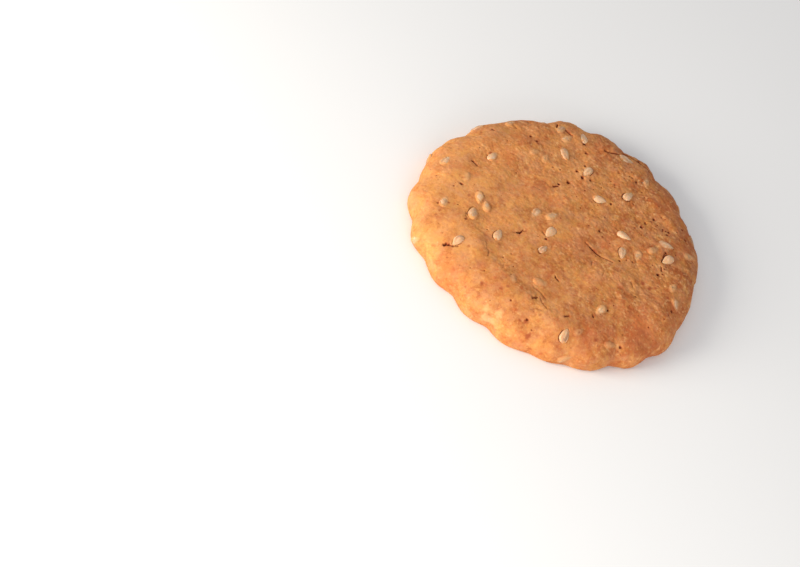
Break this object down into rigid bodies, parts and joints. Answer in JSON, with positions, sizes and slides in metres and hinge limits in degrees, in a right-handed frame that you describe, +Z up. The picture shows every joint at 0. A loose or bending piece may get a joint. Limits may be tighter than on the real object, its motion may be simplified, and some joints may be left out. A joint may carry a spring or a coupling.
{
  "type": "sesame biscuit",
  "caption": "Thin round biscuit with an uneven fluted rim, a wide soft shoulder and a faintly domed, lumpy golden face set with flat pale sesame seeds.",
  "frame": {"origin": "on the flat underside, at the centre that the flutes are set round", "axes": "+Z up out of the seeded face; +X and +Y lie in the underside, and the reference picture looks along +Y from above"},
  "size_m": [0.0596, 0.0612, 0.0073],
  "materials": {
    "baked_dough": "matte, finely grainy golden-brown crust",
    "sesame": "smooth, faintly oily cream seed skin"
  },
  "bodies": {
    "root": {"biscuit": "baked_dough"}
  },
  "joints": []
}
